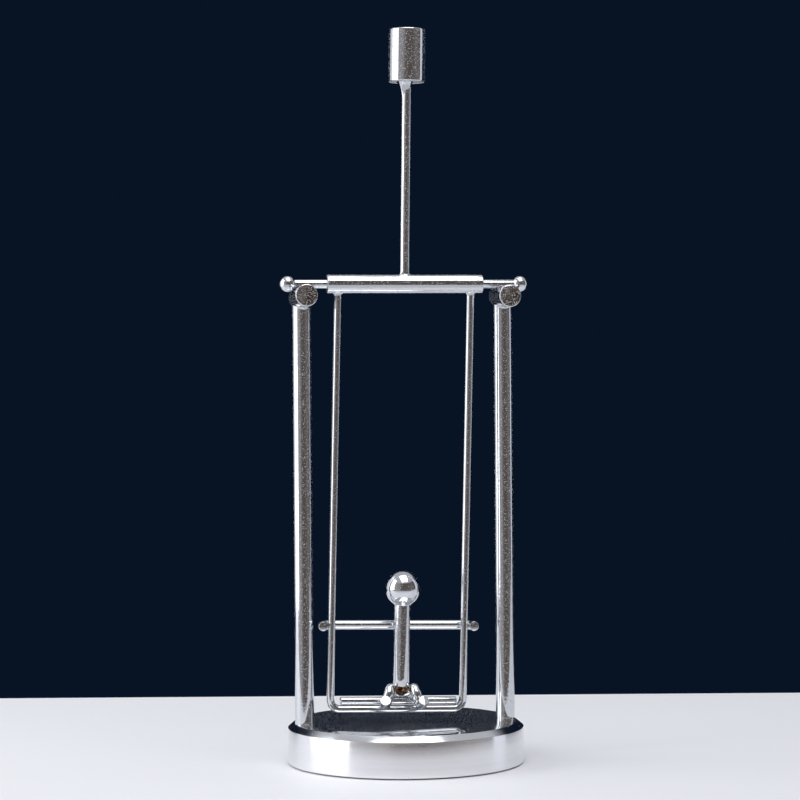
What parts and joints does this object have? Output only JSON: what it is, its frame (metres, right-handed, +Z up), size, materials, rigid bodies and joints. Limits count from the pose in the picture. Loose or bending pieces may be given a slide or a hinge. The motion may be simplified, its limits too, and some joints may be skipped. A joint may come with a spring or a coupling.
{
  "type": "balance swing desk toy",
  "caption": "Desk balance toy: a seated wire figure on a swing hangs from a loose axle between upright posts on a round base, with a counterweight on a rod above the axle.",
  "frame": {"origin": "middle of the foot pad's underside, where the toy stands on the desk", "axes": "+Z up, +X along the axle towards the figure's left hand, -Y the way the figure faces"},
  "size_m": [0.0852, 0.08, 0.248],
  "materials": {
    "chrome_plate": "bright chrome plate on polished steel",
    "turned_aluminium": "satin turned side, polished top",
    "screw_steel": "blackened steel",
    "braze": "bare braze, heat tinted",
    "foam": "closed-cell foam"
  },
  "bodies": {
    "stand": {"base_disc": "turned_aluminium", "base_pad": "foam", "post_left": "chrome_plate", "post_right": "chrome_plate", "post_screw_left": "screw_steel", "post_screw_right": "screw_steel", "bearing_left": "chrome_plate", "bearing_right": "chrome_plate"},
    "swing": {"hip_braze": "braze", "axle_rod": "chrome_plate", "axle_ball_left": "chrome_plate", "axle_ball_right": "chrome_plate", "hub_tube": "chrome_plate", "swing_wire": "chrome_plate", "wire_braze_left": "chrome_plate", "wire_braze_right": "chrome_plate", "seat_rod": "chrome_plate", "head_ball": "chrome_plate", "torso_rod": "chrome_plate", "arm_wire": "chrome_plate", "leg_wire": "chrome_plate", "upper_rod": "chrome_plate", "rod_braze": "chrome_plate", "counterweight": "chrome_plate", "weight_braze": "chrome_plate"}
  },
  "joints": [
    {"name": "swing_on_axle", "type": "hinge", "parent": "stand", "child": "swing", "pos_m": [0, -0.0036, 0.16205], "axis": [1, 0, 0], "continuous": true}
  ]
}
